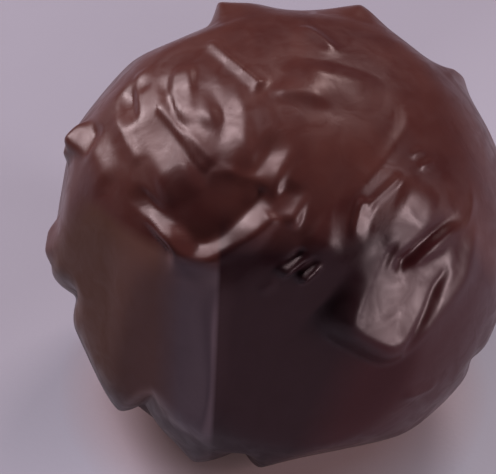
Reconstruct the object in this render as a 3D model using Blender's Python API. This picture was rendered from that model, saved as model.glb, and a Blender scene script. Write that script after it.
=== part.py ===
"""A hand-rolled chocolate truffle, about 30 mm across, that rests on a small flat foot.

The truffle is one solid. It starts as a ball, is pressed flat where palms, fingers and the
tray held it, and carries the folds, pinches and dents that setting chocolate takes while it
is rolled. Flats and folds are laid out on named sides of the ball. A place on a side is
(right, up) in degrees over the surface from the side's centre, as seen from outside the ball.
Run it with: blender --background --python part.py
"""

import math
from typing import NamedTuple

import bmesh
import bpy
import numpy as np

MM = 0.001

BALL_RADIUS = 15.2 * MM
FOOT_DEPTH = 13.0 * MM  # the foot's plane, below the centre of the ball
FOOT_ROUNDING = 1.6 * MM
CUBE_CELLS = 64  # cells along each edge of the cube that the ball is rounded from
KEPT_SHARE = 0.16  # of the cells' triangles, once flat stretches are thinned
PATH_STEPS = 10  # straight stretches between two points of a fold's path
LEAST_FACING = 0.05  # a plane that a direction looks at less than this is never met
FAR_AWAY = 1.0  # the radius given to a plane that is never met

# Each side's centre: degrees round from the front (-Y) towards +X, and degrees of elevation.
SIDES = {
    "shown": (0, 40),
    "right": (105, 5),
    "back": (180, 10),
    "left": (-115, 5),
}


class Flat(NamedTuple):
    """A stretch pressed flat. Depth is its plane's distance from the ball's centre, in mm."""

    side: str
    at: tuple
    depth: float
    rounding: float


class Fold(NamedTuple):
    """A ridge (height above 0) or a crease (below 0) along a path, with sizes in mm.

    Left and right are how far each flank reaches, seen along the path. Crest is how round
    the top is. Fades are the shares of the length over which the two ends run out.
    """

    side: str
    path: tuple
    height: float
    left: float
    right: float
    crest: float
    fades: tuple = (0.3, 0.3)


class Dab(NamedTuple):
    """A small flat face, as left by a fingertip. Sizes in mm, angles in degrees.

    Faces is the way the face looks, as a place on the side. Turn swings its length from the
    side's right towards its up. Height is above the ball's surface, at the face's middle, and
    soft is the share of its size over which it blends out.
    """

    side: str
    at: tuple
    faces: tuple
    length: float
    width: float
    turn: float
    height: float = 0.0
    soft: float = 0.5


FLATS = (
    # round the edge of the shown side
    Flat("shown", (5, 82), 14.5, 0.5),
    Flat("shown", (51, 64), 14.9, 0.5),
    Flat("shown", (15.5, -80), 14.3, 0.8),
    Flat("shown", (-75, -33), 14.2, 0.8),
    Flat("shown", (-81, 13), 14.0, 0.8),
    Flat("shown", (-68, 46), 14.6, 1.5),
    Flat("shown", (-56, 59), 14.6, 1.5),
    Flat("shown", (-32, 76), 14.05, 0.6),
    # the walls below the cap, and the cap itself
    Flat("shown", (-52, -18), 14.2, 1.0),
    Flat("shown", (-31, -30), 14.2, 0.6),
    Flat("shown", (6, -31), 13.7, 0.6),
    Flat("shown", (8, 50), 14.9, 3.0),
    # the sides turned away
    Flat("right", (28, -8), 14.5, 1.0),
    Flat("back", (-24, 14), 14.5, 1.5),
    Flat("back", (28, 24), 14.6, 1.0),
    Flat("back", (4, -26), 14.3, 1.0),
    Flat("left", (-26, 2), 14.5, 1.0),
)

FOLDS = (
    # the lip under the cap, and the recess above it
    Fold("shown",
         ((-25, -4.2), (-19.6, -5), (-15.1, -5.3), (-10.7, -3), (-6.4, -0.8), (-3, 1.6), (-0.4, 4.4)),
         0.38, 1.4, 1.4, 0.1, (0.1, 0.08)),
    Fold("shown", ((-24, -1.6), (-17.3, -1.6), (-12.9, -0.2), (-9.6, 2.8), (-6.6, 6.3), (-2.8, 10.6)),
         -0.32, 3.2, 1.3, 0.12, (0.2, 0.1)),
    Fold("shown", ((5, 1), (9, -1.5), (14, -1.8)), 0.25, 4.0, 1.2, 0.2, (0.3, 0.5)),
    # pinches on the upper left of the shown side
    Fold("shown", ((-30.4, 32), (-28.4, 29.5), (-23.8, 24.3), (-20.5, 19.8), (-18, 16), (-15.6, 13.4)),
         0.16, 2.2, 0.3, 0.04, (0.25, 0.1)),
    Fold("shown", ((-27, 34), (-25.4, 30), (-23.4, 26.5), (-20.5, 22.5)),
         -0.14, 0.4, 0.5, 0.08, (0.3, 0.4)),
    Fold("shown", ((-22, 25), (-17.5, 19), (-12.8, 15), (-7.8, 12.4)),
         0.15, 1.6, 0.6, 0.08, (0.3, 0.15)),
    Fold("shown", ((-16, 14), (-12.5, 13.2), (-8.6, 12.6), (-5, 11)), 0.16, 0.6, 0.9, 0.08, (0.2, 0.2)),
    Fold("shown", ((-19, 52.2), (-13.6, 45.5), (-8.4, 39.8), (-3.8, 34.8)),
         0.24, 0.8, 0.7, 0.1, (0.15, 0.06)),
    Fold("shown", ((-6, 36), (-3.6, 33.4)), 0.1, 0.8, 0.7, 0.3, (0.4, 0.4)),
    Fold("shown", ((-3, 35), (0.7, 33.6), (7, 32.4), (12.3, 29.5)), 0.2, 1.2, 1.0, 0.2),
    Fold("shown", ((4.2, 60.1), (10.2, 55.5), (16.3, 46.7)), 0.25, 1.0, 1.0, 0.2),
    Fold("shown", ((-43, 33), (-40, 27), (-36, 21.3), (-32, 16)), 0.12, 0.7, 0.8, 0.1, (0.3, 0.15)),
    Fold("shown", ((-63, 21), (-61, 28), (-55, 36)), 0.55, 3.0, 3.2, 0.5, (0.2, 0.6)),
    Fold("shown", ((-50, 24), (-45.5, 18.5), (-40.5, 11)), 0.2, 1.0, 2.0, 0.6),
    Fold("shown", ((-74, -12), (-76, -4), (-74, 8)), 0.6, 1.5, 3.0, 0.4, (0.4, 0.4)),
    # folds on the right of the shown side
    Fold("shown", ((31, 35), (30.6, 27), (25.6, 19.5), (20, 13), (15.2, 7.5), (10.8, 1.7)),
         0.16, 1.8, 0.8, 0.12),
    Fold("shown", ((27.4, 13.6), (25, 11.4), (21.8, 8.7), (18.9, 6)),
         0.12, 0.5, 0.35, 0.06, (0.12, 0.12)),
    Fold("shown", ((29.9, 18), (32.6, 19.4), (35, 20)), 0.12, 0.4, 0.45, 0.06),
    Fold("shown", ((31.7, 15.8), (34, 16.4), (37, 18)), 0.12, 0.4, 0.45, 0.06),
    Fold("shown", ((26.5, 1.5), (23.2, -4), (20, -10.5), (17.5, -15.5), (15.3, -21)),
         0.06, 0.4, 1.5, 0.04, (0.2, 0.05)),
    Fold("shown", ((27.4, -1.5), (25.7, -5), (23.6, -9)), 0.11, 0.9, 0.3, 0.05, (0.3, 0.5)),
    Fold("shown", ((49.5, 13), (48.5, 8), (45.5, 2.5), (40, 0), (35, -3.6), (30, -8.3)),
         0.12, 0.9, 0.5, 0.1, (0.2, 0.1)),
    Fold("shown", ((26.5, -9.5), (29.3, -5.3), (33.8, -1.3), (39.3, 2.5), (45, 5.7)),
         -0.3, 0.8, 0.6, 0.1, (0.2, 0.3)),
    Fold("shown", ((41.2, -7), (37.6, -11.8), (35, -17.5), (32, -23), (29, -29.5)),
         -0.14, 0.6, 0.5, 0.1, (0.12, 0.15)),
    Fold("shown",
         ((52, 9), (49, 0.4), (46.3, -9.6), (42.7, -14.3), (37, -20.5), (32.2, -27), (28.5, -32.8)),
         0.2, 1.6, 1.4, 0.3),
    Fold("shown", ((31.3, -41.7), (36.7, -42.1), (44.6, -40.4)), 0.15, 0.8, 0.8, 0.1),
    # wrinkles on the front wall, and the upright edge between its two halves
    Fold("shown", ((-5, -13.4), (-0.5, -10)), 0.08, 0.6, 0.6, 0.1),
    Fold("shown", ((-14, -6), (-13.5, -12), (-15.5, -23), (-17, -38), (-22, -59.5)),
         0.25, 1.0, 3.0, 0.1, (0.1, 0.2)),
    # ridges and notches that cross the edge of the shown side
    Fold("shown", ((-64, 28), (-80, 35), (-96, 42)), 0.2, 1.0, 3.0, 0.3),
    Fold("shown", ((-15, 62), (-19.5, 79), (-25, 102)), 1.15, 1.2, 4.5, 0.15),
    Fold("shown", ((24, 66), (28, 77), (36, 98)), 0.65, 4.0, 2.5, 0.2),
    Fold("shown", ((52, 48), (60, 56), (75, 70)), 0.4, 2.2, 1.8, 0.15),
    Fold("shown", ((-20, -58), (-28, -77), (-37, -100)), 0.4, 1.8, 1.8, 0.3),
    Fold("shown", ((-3, -60), (-5, -82), (-7, -105)), 0.2, 4.0, 1.0, 0.1),
    Fold("shown", ((-9, -60), (-13, -80), (-18, -105)), -1.1, 1.2, 3.0, 0.3),
    Fold("shown", ((-33, -42), (-49, -63), (-65, -83)), -1.4, 6.0, 1.1, 0.15, (0.25, 0.2)),
    Fold("shown", ((-58, -15), (-78, -24), (-100, -31), (-118, -36)), -0.9, 2.0, 1.8, 0.3, (0.2, 0.2)),
    Fold("shown", ((56, -36), (69, -44), (84, -54)), -0.35, 1.4, 1.4, 0.2),
    # the sides turned away, rolled and pinched the same way
    Fold("right", ((4, 36), (14, 21), (19, 5), (16, -16)), 0.6, 1.2, 3.0, 0.2),
    Fold("right", ((32, 28), (27, 12), (31, -6)), 0.4, 1.6, 1.0, 0.15),
    Fold("right", ((2, 8), (9, -7), (12, -26)), -0.45, 1.8, 1.0, 0.2),
    Fold("right", ((12, -32), (26, -28), (40, -18)), 0.45, 2.2, 1.0, 0.2),
    Fold("back", ((-38, 20), (-26, 8), (-12, 3), (2, 8), (8, 18)), 0.6, 1.3, 2.0, 0.15),
    Fold("back", ((-34, 26), (-24, 13), (-11, 7), (0, 13)), -0.5, 3.2, 1.2, 0.2),
    Fold("back", ((16, 28), (22, 18), (20, 4), (26, -10)), 0.5, 1.0, 2.4, 0.12),
    Fold("back", ((34, 30), (38, 12), (34, -8)), 0.4, 1.2, 1.2, 0.2),
    Fold("back", ((-30, -8), (-14, -14), (4, -9)), -0.4, 1.0, 2.0, 0.2),
    Fold("back", ((-14, 30), (-3, 21), (10, 24)), 0.4, 1.5, 1.0, 0.15),
    Fold("back", ((-36, -18), (-26, -24)), 0.6, 3.0, 2.4, 0.8),
    Fold("left", ((-16, 26), (-20, 14), (-17, 0), (-22, -14)), 0.5, 2.0, 1.0, 0.2),
    Fold("left", ((-38, 22), (-34, 8), (-40, -10)), 0.45, 1.0, 1.8, 0.15),
    Fold("left", ((-23, 24), (-26, 10), (-27, -6)), -0.4, 1.2, 1.2, 0.2),
    Fold("left", ((-6, -22), (-20, -28)), 0.5, 2.4, 2.0, 0.6),
)


DABS = (
    # faces between the pinches on the upper left of the shown side
    Dab("shown", (-25.8, 18.8), (-28, 28), 7.2, 3.4, -60, 0.05, 0.7),
    Dab("shown", (-38.3, 32), (-29, 43), 4.6, 1.7, -57, -0.2, 0.8),
    Dab("shown", (-28.4, 34.5), (-22, 42), 3.4, 1.2, -66, -0.05, 0.9),
    Dab("shown", (-35.5, 40.4), (-32, 30), 2.6, 1.4, -50, 0.0, 0.9),
    Dab("shown", (-53, 26.5), (-33, 30), 3.6, 2.6, -15, 0.1, 0.6),
    Dab("shown", (-23.2, 34.5), (-24, 30.5), 4.8, 1.9, -73, 0.1, 0.6),
    Dab("shown", (-16.2, 30.8), (-12, 39), 4.0, 1.8, -70, -0.05, 0.8),
    Dab("shown", (-20, 24.8), (-19, 20), 3.4, 1.8, -65, 0.0, 1.0),
    Dab("shown", (-10.4, 24.5), (-19, 29.5), 6.4, 2.5, -76, -0.05, 0.8),
    Dab("shown", (13, 36), (12, 34.5), 6.6, 4.6, -20, -0.1, 0.9),
    # round the neck of the lip
    Dab("shown", (-26.8, 3), (-20, 33), 6.0, 1.7, -42, 0.15, 0.7),
    Dab("shown", (-2.2, 13.9), (-14, 30), 5.2, 2.6, 68, 0.05, 0.7),
    Dab("shown", (2, 6.2), (-10, 31), 3.0, 2.2, 70, 0.05, 0.7),
    Dab("shown", (-4.4, 4.8), (-7, 14), 5.0, 2.8, 55, 0.05, 0.8),
    Dab("shown", (2.7, -6), (-12, 30), 2.3, 1.0, 42, 0.0, 0.5),
    Dab("shown", (6.2, -7.9), (-11, 30), 1.9, 0.9, 45, 0.0, 0.5),
    Dab("shown", (17.8, 3.2), (30.4, -2.5), 2.8, 1.5, 75, 0.12, 0.45),
    # the broad face on the right of the shown side
    Dab("shown", (25.6, -15.2), (29.2, -7), 8.6, 7.0, 66, -0.2, 0.48),
    Dab("shown", (36.8, -7.2), (29.2, -7), 3.8, 1.5, 28, -0.2, 0.6),
    Dab("shown", (29.8, 3.5), (29.6, 0), 5.0, 3.2, 62, 0, 0.6),
)


def side_axes(side):
    """The (right, up, outward) unit vectors at a side's centre."""
    azimuth, elevation = (math.radians(angle) for angle in SIDES[side])
    right = np.array((math.cos(azimuth), math.sin(azimuth), 0.0))
    outward = np.array(
        (
            math.sin(azimuth) * math.cos(elevation),
            -math.cos(azimuth) * math.cos(elevation),
            math.sin(elevation),
        )
    )
    return right, np.cross(outward, right), outward


def direction(side, place):
    """The unit vector from the ball's centre to a place, in degrees, on a side."""
    right, up, outward = side_axes(side)
    across, rise = place
    turn = math.radians(math.hypot(across, rise))
    heading = math.atan2(rise, across)
    over = math.cos(heading) * right + math.sin(heading) * up
    return math.cos(turn) * outward + math.sin(turn) * over


def smooth_path(points, steps=PATH_STEPS):
    """Points on a smooth (Catmull-Rom) line through the given places."""
    ends = [points[0], *points, points[-1]]
    line = []
    for index in range(len(points) - 1):
        before, start, end, after = (np.array(p, float) for p in ends[index : index + 4])
        for step in range(steps):
            t = step / steps
            line.append(
                start
                + 0.5 * t * (end - before)
                + t * t * (before - 2.5 * start + 2 * end - 0.5 * after)
                + t**3 * (1.5 * start - 0.5 * before - 1.5 * end + 0.5 * after)
            )
    line.append(np.array(points[-1], float))
    return line


def soft_minimum(a, b, rounding):
    """The lesser of two lengths, with the corner where they cross rounded off."""
    share = np.maximum(rounding - np.abs(a - b), 0) / rounding
    return np.minimum(a, b) - share**3 * rounding / 6


def smooth_step(share):
    """A share that leaves 0 and reaches 1 without a corner."""
    share = np.clip(share, 0, 1)
    return share * share * (3 - 2 * share)


def press(radius, toward, outward, depth, rounding):
    """The radius along each unit vector once the ball is pressed against a plane."""
    facing = toward @ outward
    plane = np.where(facing > LEAST_FACING, depth / np.maximum(facing, LEAST_FACING), FAR_AWAY)
    return soft_minimum(radius, plane, rounding)


def fold_height(fold, toward):
    """How far a fold lifts the surface along each unit vector."""
    line = np.array([direction(fold.side, place) for place in smooth_path(fold.path)])
    line *= BALL_RADIUS
    places = toward * BALL_RADIUS
    starts, runs = line[:-1], np.diff(line, axis=0)
    lengths = np.linalg.norm(runs, axis=1)
    passed = np.concatenate(([0.0], np.cumsum(lengths)))
    nearest = np.full(len(places), np.inf)
    across = np.zeros(len(places))
    along = np.zeros(len(places))
    for start, run, length, done in zip(starts, runs, lengths, passed):
        offset = places - start
        share = np.clip(offset @ run / length**2, 0, 1)
        apart = offset - share[:, None] * run
        distance = np.linalg.norm(apart, axis=1)
        closer = distance < nearest
        nearest[closer] = distance[closer]
        leftward = np.cross(start, run)
        across[closer] = (apart @ leftward)[closer]
        along[closer] = (done + share * length)[closer] / passed[-1]
    reach = np.where(across > 0, fold.left, fold.right) * MM
    crest = fold.crest * MM
    flank = np.clip(1 - (np.sqrt(nearest**2 + crest**2) - crest) / reach, 0, 1) ** 2
    fade_in, fade_out = fold.fades
    ends = smooth_step(along / fade_in) * smooth_step((1 - along) / fade_out)
    return fold.height * MM * flank * ends


def dab_radius(radius, dab, toward):
    """The radius along each unit vector once a dab has flattened its patch."""
    outward = direction(dab.side, dab.at)
    right = np.cross(side_axes(dab.side)[1], outward)
    right /= np.linalg.norm(right)
    up = np.cross(outward, right)
    x = toward @ right * BALL_RADIUS
    y = toward @ up * BALL_RADIUS
    turn = math.radians(dab.turn)
    along = (x * math.cos(turn) + y * math.sin(turn)) / (dab.length * MM / 2)
    across = (y * math.cos(turn) - x * math.sin(turn)) / (dab.width * MM / 2)
    outness = (along**4 + across**4) ** 0.25
    share = smooth_step((1 - outness) / dab.soft) * (toward @ outward > 0)
    faces = direction(dab.side, dab.faces)
    depth = (BALL_RADIUS + dab.height * MM) * (outward @ faces)
    plane = depth / np.maximum(toward @ faces, LEAST_FACING)
    return radius + share * (plane - radius)


def truffle_radius(toward):
    """The truffle's radius from the ball's centre along each unit vector."""
    radius = np.full(len(toward), BALL_RADIUS)
    for flat in FLATS:
        outward = direction(flat.side, flat.at)
        radius = press(radius, toward, outward, flat.depth * MM, flat.rounding * MM)
    for dab in DABS:
        radius = dab_radius(radius, dab, toward)
    for fold in FOLDS:
        radius += fold_height(fold, toward)
    return press(radius, toward, np.array((0.0, 0.0, -1.0)), FOOT_DEPTH, FOOT_ROUNDING)


def rounded_cube(cells):
    """A closed mesh of square cells on a unit ball."""
    mesh = bmesh.new()
    bmesh.ops.create_cube(mesh, size=2.0)
    bmesh.ops.subdivide_edges(mesh, edges=mesh.edges[:], cuts=cells - 1, use_grid_fill=True)
    for vertex in mesh.verts:
        vertex.co = [math.tan(value * math.pi / 4) for value in vertex.co]
        vertex.co.normalize()
    return mesh


def shape_truffle(mesh):
    """Moves each point of a unit ball out to the truffle's surface, with the foot at Z = 0."""
    toward = np.array([vertex.co for vertex in mesh.verts])
    toward /= np.linalg.norm(toward, axis=1)[:, None]
    places = toward * truffle_radius(toward)[:, None]
    places[:, 2] = np.maximum(places[:, 2] + FOOT_DEPTH, 0)
    for vertex, place in zip(mesh.verts, places):
        vertex.co = place


def chocolate():
    """The plain stand-in for the chocolate's finish."""
    material = bpy.data.materials.new("milk_chocolate")
    material.use_nodes = True
    shader = material.node_tree.nodes["Principled BSDF"]
    shader.inputs["Base Color"].default_value = (0.115, 0.03, 0.024, 1)
    shader.inputs["Roughness"].default_value = 0.35
    shader.inputs["Metallic"].default_value = 0.0
    return material


def make_truffle(collection):
    """Builds the truffle as one closed mesh and puts it in the collection."""
    mesh = rounded_cube(CUBE_CELLS)
    shape_truffle(mesh)
    data = bpy.data.meshes.new("truffle")
    mesh.to_mesh(data)
    mesh.free()
    data.materials.append(chocolate())
    data.shade_smooth()
    truffle = bpy.data.objects.new("truffle", data)
    collection.objects.link(truffle)
    thin = truffle.modifiers.new("thin_flat_stretches", "DECIMATE")
    thin.ratio = KEPT_SHARE
    return truffle


def main():
    """Clears the scene and builds the truffle in a collection of its own."""
    for obj in list(bpy.data.objects):
        bpy.data.objects.remove(obj)
    collection = bpy.data.collections.new("chocolate_truffle")
    bpy.context.scene.collection.children.link(collection)
    make_truffle(collection)


if __name__ == "__main__":
    main()
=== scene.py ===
"""A hand-rolled, glossy chocolate truffle on a pale board, dressed for a soft studio picture.

The truffle is one solid piece. Its body starts as a ball, is pressed flat where palms and the
board held it, is dabbed flat by fingertips, and carries ridges and creases along its folds.
Geometry Nodes do the rolling: one zone goes through the flats, one through the dabs and one
through the folds, whose paths are smooth lines over the ball. All places are named by a side
of the ball and by (right, up) in degrees over its surface from that side's centre.
"""

import logging
import math
from dataclasses import dataclass, field
from enum import Enum
from typing import Any, Optional, Sequence

import bpy
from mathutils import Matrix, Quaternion, Vector


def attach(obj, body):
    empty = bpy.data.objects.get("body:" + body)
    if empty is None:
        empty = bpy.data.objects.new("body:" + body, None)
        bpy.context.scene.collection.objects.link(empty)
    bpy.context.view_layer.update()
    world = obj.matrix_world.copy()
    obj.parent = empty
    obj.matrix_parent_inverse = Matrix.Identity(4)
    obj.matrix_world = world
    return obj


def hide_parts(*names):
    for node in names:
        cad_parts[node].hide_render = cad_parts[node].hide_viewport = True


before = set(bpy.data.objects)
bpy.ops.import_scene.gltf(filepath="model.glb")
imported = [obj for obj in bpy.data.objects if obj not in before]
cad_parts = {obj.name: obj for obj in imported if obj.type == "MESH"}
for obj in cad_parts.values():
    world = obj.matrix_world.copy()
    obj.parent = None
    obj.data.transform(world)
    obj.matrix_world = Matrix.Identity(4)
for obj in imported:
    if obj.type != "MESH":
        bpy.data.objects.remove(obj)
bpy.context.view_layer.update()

LOG = logging.getLogger("truffle")

MM = 0.001
Place = tuple[float, float]
Colour = tuple[float, float, float]
Socket = bpy.types.NodeSocket


class Side(Enum):
    """A named side of the ball, as (degrees round from the front to +X, degrees up)."""

    SHOWN = (0, 40)
    RIGHT = (105, 5)
    BACK = (180, 10)
    LEFT = (-115, 5)

    def axes(self) -> tuple[Vector, Vector, Vector]:
        """Returns the unit vectors right, up and outward at the side's centre."""
        azimuth, elevation = (math.radians(angle) for angle in self.value)
        right = Vector((math.cos(azimuth), math.sin(azimuth), 0.0))
        level = math.cos(elevation)
        outward = Vector((math.sin(azimuth) * level, -math.cos(azimuth) * level, math.sin(elevation)))
        return right, outward.cross(right), outward

    def direction(self, place: Place) -> Vector:
        """Finds where a place on the side lies, seen from the ball's centre.

        Args:
            place: (right, up) in degrees over the surface from the side's centre.

        Returns:
            The unit vector from the ball's centre to the place.
        """
        right, up, outward = self.axes()
        turn = math.radians(math.hypot(*place))
        heading = math.atan2(place[1], place[0])
        return math.cos(turn) * outward + math.sin(turn) * (math.cos(heading) * right + math.sin(heading) * up)


@dataclass(frozen=True)
class Flat:
    """A stretch pressed flat. Depth is its plane's distance from the ball's centre, in mm."""

    side: Side
    at: Place
    depth: float
    rounding: float


@dataclass(frozen=True)
class Dab:
    """A small flat face, as left by a fingertip. Sizes in mm, angles in degrees.

    Faces is the way the face looks, as a place on the side. Turn swings its length from the
    side's right towards its up. Height is above the ball's surface, at the face's middle, and
    soft is the share of its size over which it blends out.
    """

    side: Side
    at: Place
    faces: Place
    length: float
    width: float
    turn: float
    height: float = 0.0
    soft: float = 0.5

    def spread(self) -> tuple[Vector, Vector]:
        """Returns the face's unit vectors along its length and across it."""
        outward = self.side.direction(self.at)
        right = self.side.axes()[1].cross(outward).normalized()
        up = outward.cross(right)
        turn = math.radians(self.turn)
        return math.cos(turn) * right + math.sin(turn) * up, math.cos(turn) * up - math.sin(turn) * right


@dataclass(frozen=True)
class Fold:
    """A ridge (height above 0) or a crease (below 0) along a path, with sizes in mm.

    Left and right are how far each flank reaches, seen along the path. Crest is how round
    the top is. Fades are the shares of the length over which the two ends run out.
    """

    side: Side
    path: tuple[Place, ...]
    height: float
    left: float
    right: float
    crest: float
    fades: tuple[float, float] = (0.3, 0.3)


FLATS: tuple[Flat, ...] = (
    # round the edge of the shown side
    Flat(Side.SHOWN, (5, 82), 14.5, 0.5),
    Flat(Side.SHOWN, (51, 64), 14.9, 0.5),
    Flat(Side.SHOWN, (15.5, -80), 14.3, 0.8),
    Flat(Side.SHOWN, (-75, -33), 14.2, 0.8),
    Flat(Side.SHOWN, (-81, 13), 14.0, 0.8),
    Flat(Side.SHOWN, (-68, 46), 14.6, 1.5),
    Flat(Side.SHOWN, (-56, 59), 14.6, 1.5),
    Flat(Side.SHOWN, (-32, 76), 14.05, 0.6),
    # the walls below the cap, and the cap itself
    Flat(Side.SHOWN, (-52, -18), 14.2, 1.0),
    Flat(Side.SHOWN, (-31, -30), 14.2, 0.6),
    Flat(Side.SHOWN, (6, -31), 13.7, 0.6),
    Flat(Side.SHOWN, (8, 50), 14.9, 3.0),
    # the sides turned away
    Flat(Side.RIGHT, (28, -8), 14.5, 1.0),
    Flat(Side.BACK, (-24, 14), 14.5, 1.5),
    Flat(Side.BACK, (28, 24), 14.6, 1.0),
    Flat(Side.BACK, (4, -26), 14.3, 1.0),
    Flat(Side.LEFT, (-26, 2), 14.5, 1.0),
)

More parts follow.
